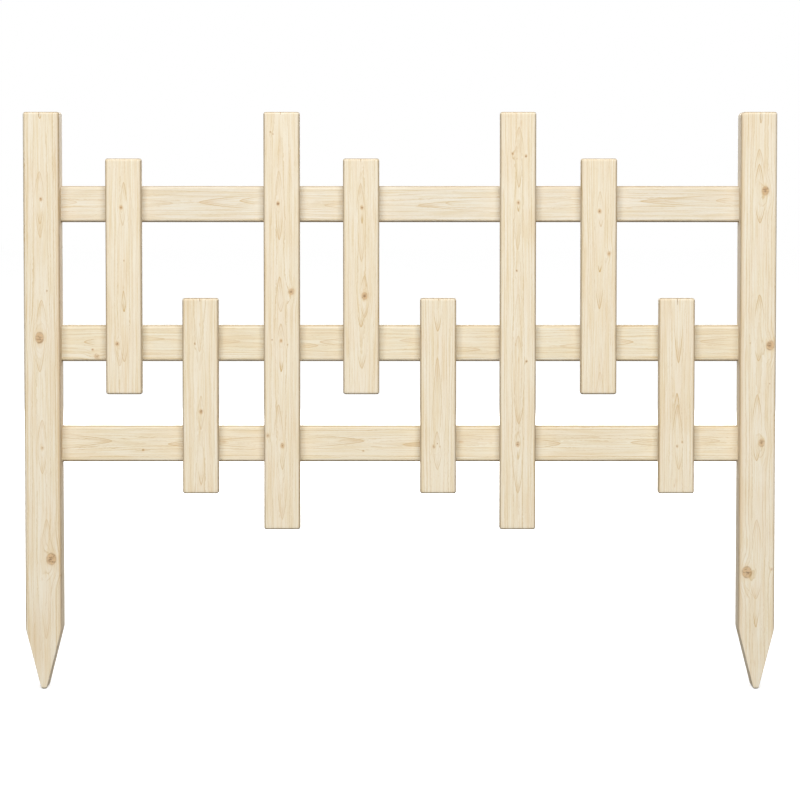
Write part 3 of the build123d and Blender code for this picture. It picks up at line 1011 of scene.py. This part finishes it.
# The eight pickets: planed laths, 50 mm wide and 20 mm thick, in three lengths, with sanded ends. They
# are screwed to the rails from behind, so their faces show only the wood.
picket_wood = {
    "upper_picket_1": (
        0.2, [(238, 19), (400, 18), (564, 20)], [],
        [(-2.9, 496.5, 2.2, 1), (0.7, 423, 0.8, 0.9), (-9.1, 308.1, 2.2, 0.9),
         (7, 428, 3, 0.9, "back")],
        [(0.6, 531.1, -36, 5, 0.4), (-0.8, 471.5, 24, 4, 0.35), (-0.1, 381.5, -30, 3.4, 0.45),
         (0.6, 352.4, 15, 2.6, 0.75), (0.6, 283.1, 20, 4.6, 0.45), (-5.7, 277.6, 50, 9, 0.3)],
        [(9.6, 472.9, 1, 50, 0.25), (0.6, 360.7, 1.3, 6, 0.35), (5.4, 290.1, 0.8, 35, 0.3),
         (0.2, 385.6, 2.2, 5, 0.25)]),
    "lower_picket_1": (
        -0.5, [(100, 19), (240, 21), (371, 19)], [(-0.7, "top", 5, 1.8, 0.7)],
        [(-7.7, 308.1, 1.1, 0.9), (0.6, 213.9, 2.4, 0.95), (-8, 128, 2.6, 0.9, "back")],
        [(0.6, 236, -30, 4.5, 0.3), (0.6, 188.9, 26, 4, 0.35), (0.6, 112.8, 22, 4.2, 0.4),
         (-1.4, 297, 52, 6, 0.3)],
        [(-0.7, 334.4, 1, 5, 0.45), (0, 191.7, 0.9, 3.5, 0.45), (0.6, 114.1, 1.6, 6, 0.3)]),
    "long_picket_1": (
        -1.5, [(50, 20), (280, 18), (628, 21)], [(-1.2, "top", 4, 1.6, 0.7)],
        [(-15.2, 600.3, 0.9, 0.7), (-11.7, 597.6, 0.9, 0.7), (-4.9, 502, 2.1, 1),
         (13, 380.1, 3.6, 0.8), (-1.1, 312.2, 1.8, 1), (-13.6, 313.6, 0.8, 0.7),
         (7.9, 306.7, 0.8, 0.7), (0.6, 166.8, 2.8, 0.8), (-19.8, 180.6, 2, 0.6),
         (-4, 452, 4, 0.9, "back")],
        [(-3.3, 452.1, 48, 6, 0.45), (-3.8, 546.3, -36, 5.5, 0.3), (-3, 400.9, -40, 5.5, 0.45),
         (-1.4, 352.4, 20, 5, 0.35), (-1.3, 335.8, -24, 4.6, 0.4), (-0.9, 269.3, 17, 2.4, 0.8),
         (-4.8, 223.6, -52, 7, 0.4), (0.5, 133.5, 28, 4.6, 0.4), (0.2, 64.3, 60, 8, 0.3)],
        [(-2.6, 581, 2.6, 45, 0.2), (-1, 277.6, 1.4, 8, 0.4)]),
    "upper_picket_2": (
        0.8, [(238, 20), (374, 18), (564, 19)], [(-0.6, "top", 6, 1, 0.5)],
        [(1.1, 496.2, 2.1, 1), (4.7, 374.1, 4.2, 0.9), (9, 262, 2.4, 0.9, "back")],
        [(1.2, 474.3, 16, 1.5, 0.6), (-0.8, 529.7, -52, 7, 0.35), (0.4, 421.7, 56, 6, 0.3),
         (4.7, 402.3, -22, 5.5, 0.35), (4.8, 344.1, 20, 6, 0.4), (-0.2, 331.3, 22, 5.2, 0.6),
         (0.9, 274, 27, 6.8, 0.45)],
        [(6.8, 389.1, 1.2, 4, 0.45), (-2.7, 361.8, 1.3, 1.3, 0.4), (1, 313.6, 0.9, 14, 0.3)]),
    "lower_picket_2": (
        -0.9, [(100, 20), (240, 19), (371, 18)], [(0.8, "top", 4, 1.8, 0.8)],
        [(-6.1, 165.5, 1.9, 0.55), (-0.9, 169.6, 0.7, 0.8), (2.6, 165.4, 0.9, 0.45),
         (6, 358, 3, 0.9, "back")],
        [(-0.6, 325.5, 30, 6, 0.55), (-1.1, 288.7, -116, 8.6, 0.4), (-1.5, 186.2, -40, 6, 0.35),
         (-0.9, 133.5, 32, 7, 0.35)],
        [(-0.3, 308.8, 1.2, 18, 0.42), (0.3, 303.6, 0.9, 6, 0.4), (23.4, 261, 1.2, 30, 0.25)]),
    "long_picket_2": (
        0.4, [(50, 19), (300, 18), (628, 20)], [],
        [(-7.7, 570.7, 1.5, 0.95), (10.8, 567.4, 1.4, 1), (-1.7, 563.6, 0.7, 0.6),
         (0.3, 502.8, 2, 0.95), (-1.7, 409.3, 1.1, 1), (12.1, 283.8, 1.1, 1),
         (0.2, 168.6, 2.8, 0.8), (8, 392, 3.4, 0.9, "back")],
        [(1.3, 607.3, -36, 7, 0.35), (1, 524.2, 40, 5.4, 0.45), (0.4, 490.9, 11, 1.5, 0.6),
         (-0.5, 438.3, 60, 6, 0.3), (0.3, 377.3, -40, 5, 0.25), (1.6, 196.6, 44, 8, 0.5),
         (0.6, 186.2, -26, 4.5, 0.35), (0.7, 147.4, 17, 1.5, 0.6), (0.4, 100.8, 50, 8, 0.45),
         (0.4, 319.2, -34, 6, 0.3)],
        [(4, 611.4, 2, 9, 0.3), (-20.7, 514.5, 1.1, 14, 0.35), (0.3, 384.3, 0.9, 16, 0.3),
         (0.9, 285.9, 1.2, 7, 0.45), (-3.2, 307, 2, 3.5, 0.4), (1.4, 186.2, 1.1, 11, 0.4)]),
    "upper_picket_3": (
        1.5, [(238, 18), (400, 20), (564, 18)], [],
        [(0.9, 491.3, 2.2, 1), (14, 432.7, 2.2, 0.75), (-7, 262, 3, 0.9, "back")],
        [(1.5, 518.6, -28, 4.5, 0.25), (2.7, 470.1, 13, 3.2, 0.4), (1.4, 407.1, 11, 2.3, 0.75),
         (0.9, 356.6, 34, 5.4, 0.5), (2.2, 269.3, -40, 6, 0.25)],
        [(3.6, 292.1, 0.9, 20, 0.35), (1.5, 277.6, 0.9, 9, 0.3)]),
    "lower_picket_3": (
        1.4, [(100, 20), (230, 21), (371, 19)], [(0.6, "top", 9, 1.6, 0.6)],
        [(8.1, 171.8, 1.1, 0.9), (1, 165.9, 1.6, 0.6), (5, 252, 3.2, 0.9, "back")],
        [(2.3, 281.9, 66, 7, 0.5), (0.6, 239.4, -34, 4.5, 0.6), (1.3, 223.6, -56, 8, 0.45),
         (3.4, 133.5, 30, 6, 0.35)],
        [(-2.4, 111.4, 1.4, 4.5, 0.45), (-0.8, 116.9, 2.2, 9, 0.25), (0.6, 231.9, 1.1, 8, 0.35)]),
}
for order, (node, (heart_across, heart, checks, knots, arches, streaks)) in enumerate(picket_wood.items()):
    kind, _, which = node.split("_")
    name = f"picket_{kind}_{which}"
    near = [(place, 2.2 * radius) for _, place, radius, _, *side in knots if radius > 2 and not side]
    bar, _ = planed_bar(name, node, "Z", 14, 5, 4.0, (3, 3, 3, 3), (3, 3, 3, 3), near=near, checks=checks)
    streaks = streaks + dark_checks(node, checks)
    softwood(name + "_wood", bar, node, "Z", heart_across, heart, 2.4, knots, arches, streaks,
             11.3 + 4.7 * order)
